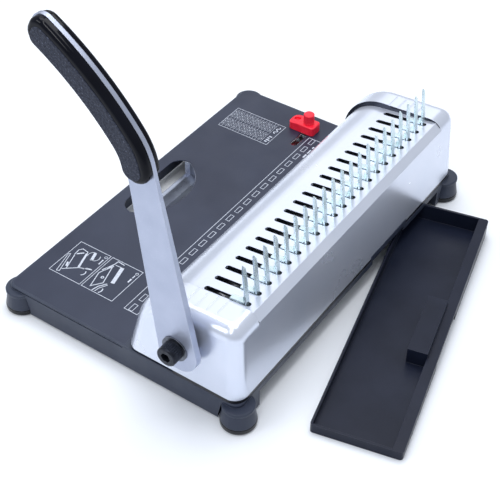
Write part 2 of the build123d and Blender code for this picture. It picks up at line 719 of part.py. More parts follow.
def grip_screws():
    screws = []
    for y, z in grip_screw_places():
        inner = TONGUE_INNER_X - GRIP_SHELL
        head = rod_x(inner + 0.4, inner + 2.2, y, z, 2.9)
        screws.append(head + rod_x(inner + 2.2, TONGUE_OUTER_X + 2.8, y, z, SCREW_RADIUS))
    return joined(screws)


BOLT_HEAD = 11.0
WASHER = 1.2


def lever_bolt():
    """Socket cap screw with a knurled head."""
    x0 = ARM_OUTER_X + WASHER
    head = rod_x(x0, x0 + BOLT_HEAD, PIVOT_Y, PIVOT_Z, 8.7)
    head = fillet(head.faces().sort_by(Axis.X)[-1].edges(), 1.4)
    flutes = 30
    for k in range(flutes):
        a = 2 * pi * k / flutes
        groove = rod_x(x0 + 0.8, x0 + BOLT_HEAD - 2.2, PIVOT_Y + 8.9 * cos(a), PIVOT_Z + 8.9 * sin(a), 0.55)
        head -= groove
    socket = Plane(origin=(x0 + BOLT_HEAD, PIVOT_Y, PIVOT_Z), x_dir=(0, 1, 0), z_dir=(1, 0, 0))
    head -= extrude(socket * RegularPolygon(4.6, 6), -5.5)
    return head + rod_x(ARM_INNER_X - 16, x0, PIVOT_Y, PIVOT_Z, 5.0)


def lever_washer():
    ring = rod_x(ARM_OUTER_X, ARM_OUTER_X + WASHER, PIVOT_Y, PIVOT_Z, 11.6)
    return ring - rod_x(ARM_OUTER_X - 1, ARM_OUTER_X + 3, PIVOT_Y, PIVOT_Z, 5.0)


def main_shaft():
    """Shaft from the far side frame to the lever, tapped for the bolt."""
    shaft = rod_x(-172.0, ARM_INNER_X + 2, PIVOT_Y, PIVOT_Z, SHAFT_RADIUS)
    shaft -= rod_x(ARM_INNER_X - 16, ARM_INNER_X + 3, PIVOT_Y, PIVOT_Z, 5.0)
    groove = rod_x(-170.4, -169.2, PIVOT_Y, PIVOT_Z, SHAFT_RADIUS + 1)
    shaft -= groove - rod_x(-171, -169, PIVOT_Y, PIVOT_Z, SHAFT_RADIUS - 1)
    for x in cam_places():
        shaft -= rod_z(x, PIVOT_Y, PIVOT_Z - 15, PIVOT_Z + 15, 1.5)
    return shaft


def shaft_ring():
    """Retaining ring in the far end groove."""
    ring = rod_x(-170.4, -169.2, PIVOT_Y, PIVOT_Z, SHAFT_RADIUS + 2.2)
    ring -= rod_x(-171, -169, PIVOT_Y, PIVOT_Z, SHAFT_RADIUS - 1)
    return ring - block(-171, -169, PIVOT_Y - 1.5, PIVOT_Y + 1.5, PIVOT_Z + 2, PIVOT_Z + 12)


def shaft_spacer():
    """Black bush between the side frame and the lever arm."""
    x0 = FRAME_X + FRAME_THICK + 2.0
    tube = rod_x(x0, ARM_INNER_X, PIVOT_Y, PIVOT_Z, SHAFT_RADIUS + 3.0)
    tube += rod_x(183.6, ARM_INNER_X, PIVOT_Y, PIVOT_Z, SHAFT_RADIUS + 5.5)
    return tube - rod_x(x0 - 1, ARM_INNER_X + 1, PIVOT_Y, PIVOT_Z, SHAFT_RADIUS)


CAM_LOBE = 8.0               # eccentricity
CAM_RADIUS = 15.9
CAM_PHASE = 0.26             # radians of pull at which the lobe points straight forward
CAM_THICK = 10.0


def cam_places():
    return [-128.59, 128.59]


def press_cams():
    """Cam sectors on the shaft that push the punch bar down."""
    cams = []
    for x in cam_places():
        lobe_y = PIVOT_Y - CAM_LOBE * cos(-CAM_PHASE)
        lobe_z = PIVOT_Z - CAM_LOBE * sin(-CAM_PHASE)
        x0, x1 = x - CAM_THICK / 2, x + CAM_THICK / 2
        lobe = rod_x(x0, x1, lobe_y, lobe_z, CAM_RADIUS)
        reach = 60.0
        ends = []
        for a in (-82.0, 52.0):
            ends.append((PIVOT_Y + reach * sin(radians(a)), PIVOT_Z - reach * cos(radians(a))))
        far = (PIVOT_Y - 20.0, PIVOT_Z - reach)
        wedge = along_x(make_face(Polyline((PIVOT_Y, PIVOT_Z), ends[0], far, ends[1], close=True)), x0, x1)
        cam = (lobe & wedge) + rod_x(x0, x1, PIVOT_Y, PIVOT_Z, SHAFT_RADIUS + 3.0)
        cam -= rod_x(x0 - 1, x1 + 1, PIVOT_Y, PIVOT_Z, SHAFT_RADIUS)
        cams.append(cam - rod_z(x, PIVOT_Y, PIVOT_Z - 15, PIVOT_Z + 15, 1.5))
    return joined(cams)


def cam_pins():
    """Roll pins that lock the cams to the shaft."""
    pins = []
    for x in cam_places():
        pins.append(rod_z(x, PIVOT_Y, PIVOT_Z - 9.5, PIVOT_Z + 9.5, 1.5))
    return joined(pins)


# ---- punch carriage ----
def punch_bar():
    """Bar that carries the pins under the cams."""
    bar = block(-158, 158, PUNCH_Y - 5, 79.0, BAR_TOP - 12, BAR_TOP)
    for hole in die_holes(BAR_TOP - 13, BAR_TOP - 6, 0.0):
        bar -= hole
    for x in spring_places():
        bar -= rod_z(x, 71.5, BAR_TOP - 13, BAR_TOP - 2, 3.0)
    for x in clamp_screw_places():
        bar -= block(x - 1.6, x + 1.6, PUNCH_Y - 6, PUNCH_Y - 2, BAR_TOP - 7, BAR_TOP - 4)
    return bar


def punch_pins():
    """Square-cut pins with a hollow-ground tip."""
    pins = []
    tip = 30.0
    for x in slot_places():
        pin = block(x - 4, x + 4, PUNCH_Y - 1.3, PUNCH_Y + 1.3, tip, BAR_TOP - 6)
        notch = Polyline((x - 4, tip), (x, tip + 1.2), (x + 4, tip), (x, tip - 2), close=True)
        plane = Plane(origin=(0, PUNCH_Y + 2, 0), x_dir=(1, 0, 0), z_dir=(0, -1, 0))
        pins.append(pin - extrude(plane * make_face(notch), 4))
    return joined(pins)


def clamp_screw_places():
    return [-107.16, -50.0, 50.0, 107.16]


def pin_clamp():
    """Strip screwed to the bar's front face that keeps the pins in place."""
    strip = block(-154, 154, PUNCH_Y - 6.8, PUNCH_Y - 5, BAR_TOP - 11, BAR_TOP - 1)
    for x in clamp_screw_places():
        strip -= block(x - 1.6, x + 1.6, PUNCH_Y - 8, PUNCH_Y - 4, BAR_TOP - 7, BAR_TOP - 4)
    return strip


def clamp_screws():
    screws = []
    for x in clamp_screw_places():
        shank = block(x - 1.6, x + 1.6, PUNCH_Y - 6.8, PUNCH_Y - 2, BAR_TOP - 7, BAR_TOP - 4)
        head = Pos(x, PUNCH_Y - 7.6, BAR_TOP - 5.5) * Rot(90, 0, 0) * Cylinder(2.8, 1.6)
        screws.append(shank + head)
    return joined(screws)


# ---- hook carriage ----
def hook(x):
    """Stem that rises through the slot and a flat finger that reaches back to the tine."""
    stem = block(x - 1.7, x + 1.7, 87.5, 89.5, 85.9, 97.6)
    slope = tan(radians(PANEL_SLOPE))
    base_z = panel_z(87.0) + 0.5
    finger = Polyline((87.0, base_z), (TINE_Y - 1.6, base_z + slope * 13.2),
                      (TINE_Y - 1.6, base_z + slope * 13.2 + 1.5), (87.0, base_z + 1.5), close=True)
    solid = along_x(make_face(finger), x - 2.2, x + 2.2)
    spike = block(x - 2.2, x - 1.0, TINE_Y - 4.6, TINE_Y - 1.6, base_z + 2.2, base_z + 5.6)
    return stem + solid + spike


def hook_rack():
    """Flat rack in the guides with one hook per slot."""
    rack = block(-157.6, 157.6, 82.0, 98.0, 84.0, 86.0)
    for x in slot_places():
        rack += hook(x)
    return rack


def rack_stiffener():
    """Strip riveted on the rack, behind the hooks."""
    return block(-140, 140, 91.5, 96.5, 86.0, 88.5)


# ---- edge guide ----
GUIDE_X = -158.0


GUIDE_TOP = BASE_TOP + 9.5
GUIDE_X_RANGE = (-165.8, -150.0)
GUIDE_Y_RANGE = (-48.0, -18.3)
GUIDE_FRONT_TOP = BASE_TOP + 7.0
GUIDE_FLAT_Y = -36.0         # the top slopes down in front of this


def guide_body():
    """Red stop block: it thins towards its rounded front, with an oval recess on top."""
    z0 = BASE_TOP + 0.25
    body = block(*GUIDE_X_RANGE, *GUIDE_Y_RANGE, z0, GUIDE_TOP)
    upright = body.edges().filter_by(Axis.Z).sort_by(Axis.Y)
    body = fillet(upright[:2], 5.0)
    body = fillet(body.edges().filter_by(Axis.Z).sort_by(Axis.Y)[-2:], 3.2)
    body = fillet(body.faces().sort_by(Axis.Z)[-1].edges(), 1.4)
    front = GUIDE_Y_RANGE[0] - 1
    slope = Polyline(
        (front, GUIDE_FRONT_TOP), (GUIDE_FLAT_Y, GUIDE_TOP), (GUIDE_FLAT_Y, 60), (front, 60), close=True
    )
    body -= along_x(make_face(slope), GUIDE_X_RANGE[0] - 1, GUIDE_X_RANGE[1] + 1)
    recess = extrude(Pos(GUIDE_X - 1.5, -42.0, GUIDE_TOP - 4.0) * SlotOverall(8.0, 5.4, rotation=90), 8)
    body -= recess
    return body - rod_z(GUIDE_X, GUIDE_SLOT_Y, 20, 40, 2.5 + RUN)


def guide_knob():
    """Knurled clamp knob on its stud."""
    z0 = GUIDE_TOP + 0.2
    knob = rod_z(GUIDE_X, GUIDE_SLOT_Y, z0, z0 + 10.5, 5.5)
    knob = fillet(knob.faces().sort_by(Axis.Z)[-1].edges(), 1.0)
    ridges = 18
    for k in range(ridges):
        a = 2 * pi * k / ridges
        ridge = rod_z(GUIDE_X + 5.8 * cos(a), GUIDE_SLOT_Y + 5.8 * sin(a), z0 + 1, z0 + 9.4, 0.6)
        knob -= ridge
    return knob + rod_z(GUIDE_X, GUIDE_SLOT_Y, 17.2, z0, 2.5)


def guide_nut():
    """Square nut that is dragged along under the table."""
    nut = block(GUIDE_X - 4.5, GUIDE_X + 4.5, GUIDE_SLOT_Y - 4.5, GUIDE_SLOT_Y + 4.5, 18.2, 21.4)
    return nut - rod_z(GUIDE_X, GUIDE_SLOT_Y, 10, 30, 2.5 + RUN)


# ---- chip drawer ----
LEDGE = 9.0                  # width of the hollow rim on the outer side
PULL_X = (-24.0, 44.0)       # finger pocket, measured along the drawer from its middle
PULL_WIDTH = 17.0
PULL_TOP = 18.0


def drawer_at_home():
    """Drawer in its own frame: +X to the lever, outer side at +Y, bottom at z = 0."""
    half_l, half_w = DRAWER_LENGTH / 2, DRAWER_WIDTH / 2
    shape = extrude(RectangleRounded(DRAWER_LENGTH, DRAWER_WIDTH, DRAWER_CORNER), DRAWER_HIGH)
    fall = Polyline(
        (-half_l - 5, DRAWER_HIGH + 30), (-half_l - 5, DRAWER_HIGH), (-half_l, DRAWER_HIGH),
        (half_l, DRAWER_LOW), (half_l + 5, DRAWER_LOW), (half_l + 5, DRAWER_HIGH + 30), close=True,
    )
    plane = Plane(origin=(0, 60, 0), x_dir=(1, 0, 0), z_dir=(0, -1, 0))
    above_rim = extrude(plane * make_face(fall), 120)
    shape -= above_rim
    t = DRAWER_WALL
    inside = block(-half_l + t, half_l - t, -half_w + t, half_w - LEDGE, t, 40)
    shape -= inside
    pull_y = (half_w - LEDGE - PULL_WIDTH, half_w - LEDGE)
    shape += block(PULL_X[0], PULL_X[1], pull_y[0], half_w - LEDGE + 0.5, 0, PULL_TOP)
    under = block(PULL_X[0] + t, PULL_X[1] - t, pull_y[0] + t, half_w + 1, -1, DRAWER_LOW)
    under += block(PULL_X[0] + t, PULL_X[1] - t, pull_y[0] + t, half_w - LEDGE - t, -1, PULL_TOP - t)
    shape -= under
    ledge_y = half_w - LEDGE + t
    shape -= block(-half_l + t, PULL_X[0], ledge_y, half_w - t, -1, DRAWER_LOW - t)
    shape -= block(PULL_X[1], half_l - t, ledge_y, half_w - t, -1, DRAWER_LOW - t)
    return shape


def chip_drawer():
    """Drawer standing pulled out to the rear and skewed."""
    return Pos(*DRAWER_CENTRE, DRAWER_LIFT) * Rot(0, 0, DRAWER_SKEW) * drawer_at_home()


PARTS = {
    "base_tray": base_tray,
    "rubber_feet": rubber_feet,
    "foot_screws": foot_screws,
    "table_plate": table_plate,
    "grip_cup": grip_cup,
    "guide_rail": guide_rail,
    "housing_cover": housing_cover,
    "cover_screws": cover_screws,
    "side_frame_near": lambda: side_frame(1),
    "side_frame_far": lambda: side_frame(-1),
    "frame_screws": frame_screws,
    "tie_bar": tie_bar,
    "lower_die": lower_die,
    "pin_guide": pin_guide,
    "paper_stop": paper_stop,
    "shaft_bushes": shaft_bushes,
    "comb_rail": comb_rail,
    "rack_guides": rack_guides,
    "spring_posts": spring_posts,
    "return_springs": return_springs,
    "lever_arm": lever_arm,
    "grip_outer": lambda: grip_half(1),
    "grip_inner": lambda: grip_half(-1),
    "grip_inlay": grip_inlay,
    "grip_screws": grip_screws,
    "lever_bolt": lever_bolt,
    "lever_washer": lever_washer,
    "main_shaft": main_shaft,
    "shaft_ring": shaft_ring,
    "shaft_spacer": shaft_spacer,
    "press_cams": press_cams,
    "cam_pins": cam_pins,
    "punch_bar": punch_bar,
    "punch_pins": punch_pins,
    "pin_clamp": pin_clamp,
    "clamp_screws": clamp_screws,
    "hook_rack": hook_rack,
    "rack_stiffener": rack_stiffener,
    "edge_guide": guide_body,
    "guide_knob": guide_knob,
    "guide_nut": guide_nut,
    "chip_drawer": chip_drawer,
}



def box_middle():
    """Middle of the whole object's footprint: feet and bolt head in X, feet and drawer in Y."""
    x_low = -POST_X - FOOT_RADIUS
    x_high = ARM_OUTER_X + WASHER + BOLT_HEAD
    y_low = POST_FRONT_Y - FOOT_RADIUS
    skew = radians(DRAWER_SKEW)
    corner_x = DRAWER_LENGTH / 2 - DRAWER_CORNER
    corner_y = DRAWER_WIDTH / 2 - DRAWER_CORNER
    y_high = DRAWER_CENTRE[1] + corner_x * sin(skew) + corner_y * cos(skew) + DRAWER_CORNER
    return (x_low + x_high) / 2, (y_low + y_high) / 2


os.makedirs("parts", exist_ok=True)
middle_x, middle_y = box_middle()
for name, make in PARTS.items():
    export_step(Pos(-middle_x, -middle_y, 0) * make(), f"parts/{name}.step")
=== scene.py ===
import math

import bmesh
import bpy
from mathutils import Matrix, Vector


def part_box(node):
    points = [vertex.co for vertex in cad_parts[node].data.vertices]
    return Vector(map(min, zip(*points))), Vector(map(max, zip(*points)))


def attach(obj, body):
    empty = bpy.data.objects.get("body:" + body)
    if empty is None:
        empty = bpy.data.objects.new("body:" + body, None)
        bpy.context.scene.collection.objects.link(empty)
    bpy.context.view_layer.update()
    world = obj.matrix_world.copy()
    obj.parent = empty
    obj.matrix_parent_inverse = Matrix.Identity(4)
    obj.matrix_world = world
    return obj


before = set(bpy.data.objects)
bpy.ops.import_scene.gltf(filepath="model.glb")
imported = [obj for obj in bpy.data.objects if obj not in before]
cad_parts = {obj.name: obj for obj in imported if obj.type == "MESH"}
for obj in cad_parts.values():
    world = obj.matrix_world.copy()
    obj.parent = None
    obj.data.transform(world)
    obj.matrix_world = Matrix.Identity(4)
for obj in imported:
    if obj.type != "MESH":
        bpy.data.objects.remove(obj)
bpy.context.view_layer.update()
scene = bpy.context.scene
scene.view_settings.view_transform = "Standard"

MM = 0.001                       # one millimetre, in Blender's metres
TABLE_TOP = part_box("table_plate")[1].z
# The drawing's middle: the base's middle along X, and the middle between the table's feet along Y.
base_low, base_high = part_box("base_tray")
feet_low, feet_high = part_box("rubber_feet")
FEET_MIDDLE_Y = 2.05 * MM
MIDDLE = Vector((
    (base_low.x + base_high.x) / 2,
    (feet_low.y + feet_high.y) / 2 - FEET_MIDDLE_Y,
    0,
))


def at(x, y, z):
    """A point given in mm from the middle of the machine, on the floor."""
    return MIDDLE + Vector((x, y, z)) * MM


# ---- materials ----
SPECK_RANGE = (0.62, 0.72)       # noise values between which a speck fades in
WEAR_AND_HIGHLIGHT_RANGE = (0.72, 0.97)        # cosine of the bend between which the painted highlight and wear line along an edge fades out
BEVEL_SAMPLES = 6
BAND_EDGE = 0.1 * MM             # half the width over which a band's colour changes
FACING_X = 0.75                  # least X part of the normal of a wall that faces along X
MASK_STEP = 0.001                # width of the change at a mask's limit


class Finish:
    """A principled material built from procedural nodes, in object coordinates (metres)."""

    def __init__(self, name, **values):
        self.material = bpy.data.materials.new(name)
        self.material.use_nodes = True
        self.nodes = self.material.node_tree.nodes
        self.links = self.material.node_tree.links
        self.shader = self.nodes["Principled BSDF"]
        self.place = self.nodes.new("ShaderNodeTexCoord").outputs["Object"]
        self.normal = None
        for socket, value in values.items():
            self.shader.inputs[socket.replace("_", " ")].default_value = value

    def stretched(self, scale):
        """The object's coordinates, scaled along each axis."""
        mapping = self.nodes.new("ShaderNodeMapping")
        mapping.inputs["Scale"].default_value = scale
        self.links.new(self.place, mapping.inputs["Vector"])
        return mapping.outputs["Vector"]

    def noise(self, size, detail=3.0, stretch=None):
        """Noise with features of that size in mm."""
        node = self.nodes.new("ShaderNodeTexNoise")
        node.inputs["Scale"].default_value = 1 / (size * MM)
        node.inputs["Detail"].default_value = detail
        self.links.new(self.stretched(stretch) if stretch else self.place, node.inputs["Vector"])
        return node.outputs["Fac"]

    def cells(self, size):
        """Distance to the nearest cell's middle, for cells of that size in mm."""
        node = self.nodes.new("ShaderNodeTexVoronoi")
        node.inputs["Scale"].default_value = 1 / (size * MM)
        self.links.new(self.place, node.inputs["Vector"])
        return node.outputs["Distance"]

    def spread(self, fac, low, high, start=0.3, end=0.7):
        """Fac from start to end, mapped to low to high."""
        node = self.nodes.new("ShaderNodeMapRange")
        node.inputs["From Min"].default_value = start
        node.inputs["From Max"].default_value = end
        node.inputs["To Min"].default_value = low
        node.inputs["To Max"].default_value = high
        self.links.new(fac, node.inputs["Value"])
        return node.outputs["Result"]

    def mix(self, fac, first, second):
        """The first colour where fac is 0 and the second where it is 1."""
        node = self.nodes.new("ShaderNodeMix")
        node.data_type = "RGBA"
        self.links.new(fac, node.inputs["Factor"])
        for socket, colour in ((node.inputs["A"], first), (node.inputs["B"], second)):
            if isinstance(colour, tuple):
                socket.default_value = colour
            else:
                self.links.new(colour, socket)
        return node.outputs["Result"]

    def colour(self, first, second, size, detail=3.0, start=0.35, end=0.65, stretch=None):
        """Two shades, blended by noise of that size in mm."""
        fac = self.spread(self.noise(size, detail, stretch), 0, 1, start, end)
        self.tone = self.mix(fac, first, second)
        self.links.new(self.tone, self.shader.inputs["Base Color"])
        return self

    def specks(self, colour, size, amount):
        """Small spots of another colour over the shades so far."""
        fac = self.spread(self.noise(size, 2.0), 0, amount, *SPECK_RANGE)
        self.tone = self.mix(fac, self.tone, colour)
        self.links.new(self.tone, self.shader.inputs["Base Color"])
        return self

    def rough(self, low, high, size, stretch=None):
        """Roughness that wanders between low and high."""
        fac = self.spread(self.noise(size, 4.0, stretch), low, high)
        self.links.new(fac, self.shader.inputs["Roughness"])
        return self

    def edges(self, colour, radius, amount):
        """Edges catch the light: a slight bevel in the shading, and a thin lighter line along them,
        partly painted highlight and partly wear.
        """
        bevel = self.nodes.new("ShaderNodeBevel")
        bevel.samples = BEVEL_SAMPLES
        bevel.inputs["Radius"].default_value = radius * MM
        true = self.nodes.new("ShaderNodeNewGeometry")
        dot = self.nodes.new("ShaderNodeVectorMath")
        dot.operation = "DOT_PRODUCT"
        self.links.new(bevel.outputs["Normal"], dot.inputs[0])
        self.links.new(true.outputs["Normal"], dot.inputs[1])
        # painted highlight and wear: a lighter colour mixed in where the bevelled normal bends away
        # from the true one
        worn_and_highlit = self.spread(dot.outputs["Value"], amount, 0, *WEAR_AND_HIGHLIGHT_RANGE)
        self.tone = self.mix(worn_and_highlit, self.tone, colour)
        self.links.new(self.tone, self.shader.inputs["Base Color"])
        self.normal = bevel.outputs["Normal"]
        return self

    def band(self, limit, colour):
        """Another colour on the part below a height in metres."""
        parts = self.nodes.new("ShaderNodeSeparateXYZ")
        self.links.new(self.place, parts.inputs["Vector"])
        fac = self.spread(parts.outputs["Z"], 1, 0, limit - BAND_EDGE, limit + BAND_EDGE)
        self.tone = self.mix(fac, self.tone, colour)
        self.links.new(self.tone, self.shader.inputs["Base Color"])
        return fac

    def shade_slot_walls(self, reach, colour):
        """Painted shade: a dark colour on the walls that face along X, within reach (metres) of the
        middle, to darken the slots.
        """
        parts = self.nodes.new("ShaderNodeSeparateXYZ")
        self.links.new(self.place, parts.inputs["Vector"])
        true = self.nodes.new("ShaderNodeNewGeometry")
        facing = self.nodes.new("ShaderNodeSeparateXYZ")
        self.links.new(true.outputs["True Normal"], facing.inputs["Vector"])
        masks = []
        for value, low, high in ((parts.outputs["X"], 1, 0), (facing.outputs["X"], 0, 1)):
            size = self.nodes.new("ShaderNodeMath")
            size.operation = "ABSOLUTE"
            self.links.new(value, size.inputs[0])
            start = reach if low else FACING_X
            masks.append(self.spread(size.outputs[0], low, high, start, start + MASK_STEP))
        both = self.nodes.new("ShaderNodeMath")
        both.operation = "MULTIPLY"
        self.links.new(masks[0], both.inputs[0])
        self.links.new(masks[1], both.inputs[1])
        self.tone = self.mix(both.outputs[0], self.tone, colour)
        self.links.new(self.tone, self.shader.inputs["Base Color"])
        return self

    def smooth(self):
        """No bump: only the softened edges."""
        self.links.new(self.normal, self.shader.inputs["Normal"])
        return self

    def bump(self, fac, height):
        """Raised by fac times height, in mm."""
        node = self.nodes.new("ShaderNodeBump")
        node.inputs["Distance"].default_value = height * MM
        self.links.new(fac, node.inputs["Height"])
        if self.normal:
            self.links.new(self.normal, node.inputs["Normal"])
        self.normal = node.outputs["Normal"]
        self.links.new(self.normal, self.shader.inputs["Normal"])
        return self


def base_plastic():
    f = Finish("base_plastic", IOR=1.5, Specular_IOR_Level=0.35)
    f.colour((0.026, 0.034, 0.060, 1), (0.036, 0.046, 0.074, 1), 38)
    f.specks((0.055, 0.065, 0.095, 1), 1.4, 0.35)
    f.edges((0.20, 0.22, 0.29, 1), 0.5, 0.6)
    f.rough(0.32, 0.46, 14)
    return f.bump(f.noise(0.9, 4.0), 0.025).material


def table_film():
    f = Finish("table_film", IOR=1.5, Specular_IOR_Level=0.4)
    f.colour((0.017, 0.023, 0.048, 1), (0.026, 0.034, 0.064, 1), 60, 3.0)
    f.specks((0.040, 0.050, 0.082, 1), 1.3, 0.30)
    f.rough(0.30, 0.46, 24)
    return f.bump(f.noise(1.0, 3.0), 0.020).material


def print_white():
    f = Finish("print_white", Roughness=0.5)
    f.colour((0.48, 0.52, 0.62, 1), (0.66, 0.70, 0.78, 1), 1.3)
    return f.bump(f.noise(0.8), 0.01).material


GAP_SHADE_HEIGHT = 3.0                # height of the painted shade of the gap along the housing's lower edge, mm
SLOTS_REACH = 160 * MM           # the slots for the hooks lie within this of the middle
PAINT_METAL, GAP_SHADE_METAL = 0.62, 0.05


def housing_paint():
    f = Finish("housing_paint", IOR=1.5)
    f.colour((0.70, 0.75, 0.87, 1), (0.75, 0.79, 0.90, 1), 60, 2.0)
    f.edges((0.86, 0.88, 0.95, 1), 0.5, 0.3)
    # painted shade inside the hook slots
    f.shade_slot_walls(SLOTS_REACH, (0.03, 0.035, 0.05, 1))
    # painted shade: a near-black, barely metallic band at the housing's foot, standing in for the
    # shadowed gap above the table
    gap_shade = f.band(TABLE_TOP + GAP_SHADE_HEIGHT * MM, (0.006, 0.007, 0.011, 1))
    f.links.new(f.spread(gap_shade, PAINT_METAL, GAP_SHADE_METAL, 0, 1), f.shader.inputs["Metallic"])
    f.rough(0.24, 0.28, 60)
    return f.smooth().material


def lever_silver():
    f = Finish("lever_silver", Metallic=0.8, IOR=1.5)
    f.colour((0.42, 0.46, 0.58, 1), (0.47, 0.51, 0.63, 1), 30, 2.0)
    f.specks((0.60, 0.64, 0.74, 1), 1.2, 0.25)
    f.edges((0.80, 0.83, 0.90, 1), 0.6, 0.6)
    f.rough(0.34, 0.44, 10)
    return f.bump(f.noise(0.9, 3.0), 0.005).material


def scoop_silver():
    f = Finish("scoop_silver", Metallic=0.85, IOR=1.5)
    f.colour((0.30, 0.33, 0.42, 1), (0.38, 0.42, 0.51, 1), 16)
    f.edges((0.80, 0.83, 0.90, 1), 0.5, 0.5)
    f.rough(0.26, 0.36, 6)
    return f.bump(f.noise(0.9, 3.0), 0.005).material


def zinc():
    f = Finish("zinc", Metallic=0.8, IOR=1.6)
    f.colour((0.56, 0.69, 0.72, 1), (0.70, 0.81, 0.84, 1), 14.0, 1.0)
    f.edges((0.86, 0.94, 0.96, 1), 0.25, 0.5)
    f.rough(0.24, 0.30, 20)
    return f.smooth().material


EVEN = (1, 1, 1)
DRAWN = (1, 1, 12)               # grain drawn out crosswise to Z


def steel(name, low, high, rough, stretch=DRAWN):
    """Bare metal in two shades, as rough as stated or a little more."""
    f = Finish(name, Metallic=1.0)
    f.colour(low, high, 3.0, 3.0, stretch=stretch)
    f.edges((0.82, 0.83, 0.86, 1), 0.3, 0.5)
    f.rough(rough, rough + 0.14, 3.0, stretch)
    return f.bump(f.noise(0.8, 3.0, stretch), 0.005).material


def gloss_black():
    f = Finish("grip_gloss", IOR=1.5, Specular_IOR_Level=0.10, Coat_Weight=0.12, Coat_Roughness=0.02)
    f.colour((0.0012, 0.0016, 0.0045, 1), (0.0025, 0.0032, 0.0075, 1), 20)
    f.rough(0.04, 0.09, 7)
    return f.bump(f.noise(6.0, 1.0), 0.05).material


def grip_soft():
    f = Finish("grip_soft", IOR=1.45, Specular_IOR_Level=0.25, Sheen_Weight=0.04, Sheen_Roughness=0.6)
    f.colour((0.013, 0.016, 0.030, 1), (0.036, 0.043, 0.068, 1), 1.6, 3.0)
    f.specks((0.15, 0.17, 0.24, 1), 1.5, 0.6)
    f.rough(0.55, 0.72, 1.2)
    return f.bump(f.cells(1.5), 0.30).bump(f.noise(0.7), 0.08).material


def black_oxide():
    f = Finish("black_oxide", Metallic=0.5, IOR=1.5, Specular_IOR_Level=0.3)
    f.colour((0.010, 0.012, 0.020, 1), (0.026, 0.030, 0.042, 1), 2.5)
    f.edges((0.14, 0.16, 0.20, 1), 0.35, 0.7)
    f.rough(0.26, 0.40, 1.5)
    return f.bump(f.noise(0.8), 0.010).material


def foot_rubber():
    f = Finish("foot_rubber", IOR=1.5, Specular_IOR_Level=0.3, Coat_Weight=0.15, Coat_Roughness=0.08)
    f.colour((0.003, 0.0035, 0.006, 1), (0.008, 0.009, 0.013, 1), 5)
    f.edges((0.10, 0.11, 0.14, 1), 0.4, 0.3)
    f.rough(0.16, 0.28, 4)
    return f.bump(f.noise(1.2), 0.010).material


def guide_red():
    f = Finish("guide_red", IOR=1.5, Specular_IOR_Level=0.35, Coat_Weight=0.15, Coat_Roughness=0.15)
    f.colour((0.86, 0.010, 0.034, 1), (0.98, 0.020, 0.052, 1), 6)
    f.edges((1.0, 0.20, 0.26, 1), 0.4, 0.6)
    f.rough(0.28, 0.42, 3)
    return f.bump(f.noise(1.2), 0.010).material


def drawer_plastic():
    f = Finish("drawer_plastic", IOR=1.5, Specular_IOR_Level=0.22)
    f.colour((0.006, 0.009, 0.022, 1), (0.011, 0.015, 0.032, 1), 45)
    f.specks((0.022, 0.027, 0.045, 1), 1.4, 0.25)
    f.edges((0.10, 0.115, 0.16, 1), 0.45, 0.55)
    f.rough(0.30, 0.42, 18)
    return f.bump(f.noise(1.2, 3.0), 0.014).material


def bronze():
    f = Finish("bronze", Metallic=1.0)
    f.colour((0.44, 0.28, 0.12, 1), (0.58, 0.38, 0.18, 1), 3)
    f.rough(0.3, 0.45, 2)
    return f.bump(f.noise(0.8), 0.01).material


DARK_STEEL = (0.34, 0.35, 0.38, 1)
PALE_STEEL = (0.60, 0.61, 0.64, 1)
bright = steel("bright_steel", (0.66, 0.67, 0.70, 1), (0.86, 0.87, 0.90, 1), 0.12, EVEN)
milled = steel("milled_steel", DARK_STEEL, PALE_STEEL, 0.26)
dull = steel("dull_steel", (0.10, 0.11, 0.13, 1), (0.16, 0.17, 0.20, 1), 0.30, EVEN)
wire = steel("spring_wire", (0.40, 0.40, 0.42, 1), (0.62, 0.62, 0.64, 1), 0.2, EVEN)
plastic, silver, zinced, black = base_plastic(), lever_silver(), zinc(), gloss_black()
oxide, red, white = black_oxide(), guide_red(), print_white()
FINISHES = {
    "base_tray": plastic,
    "rubber_feet": foot_rubber(),
    "table_plate": table_film(),
    "grip_cup": scoop_silver(),
    "guide_rail": bright,
    "housing_cover": housing_paint(),
    "comb_rail": zinced,
    "hook_rack": zinced,
    "rack_stiffener": zinced,
    "lever_arm": silver,
    "grip_outer": black,
    "grip_inner": black,
    "grip_inlay": grip_soft(),
    "lever_bolt": oxide,
    "shaft_spacer": oxide,
    "lever_washer": dull,
    "edge_guide": red,
    "guide_knob": red,
    "chip_drawer": drawer_plastic(),
    "shaft_bushes": bronze(),
    "return_springs": wire,
}
for name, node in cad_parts.items():
    node.data.materials.clear()
    node.data.materials.append(FINISHES.get(name, milled))


# ---- printed marks on the table ----
INK = 0.06                      # thickness of the print, mm
INK_LIFT = 0.01                 # over the film, so that the faces never meet
LINE = 0.55                     # width of a fine line, mm
MITRE_LIMIT = 0.35              # least cosine used at a corner, so that a sharp one stays short


def prism(bm, ring, hole=None):
    """A flat mark: a closed ring of (x, y) in mm, with an optional ring of as many points cut out."""
    low, high = TABLE_TOP / MM + INK_LIFT, TABLE_TOP / MM + INK_LIFT + INK
    def loop(points, z):
        return [bm.verts.new(at(x, y, z)) for x, y in points]
    n = len(ring)
    bottom, top = loop(ring, low), loop(ring, high)
    if hole is None:
        bm.faces.new(top)
        bm.faces.new(bottom[::-1])
    else:
        inner_bottom, inner_top = loop(hole, low), loop(hole, high)
    for i in range(n):
        j = (i + 1) % n
        bm.faces.new((bottom[i], bottom[j], top[j], top[i]))
        if hole is not None:
            bm.faces.new((top[i], top[j], inner_top[j], inner_top[i]))
            bm.faces.new((bottom[j], bottom[i], inner_bottom[i], inner_bottom[j]))
            bm.faces.new((inner_bottom[j], inner_bottom[i], inner_top[i], inner_top[j]))


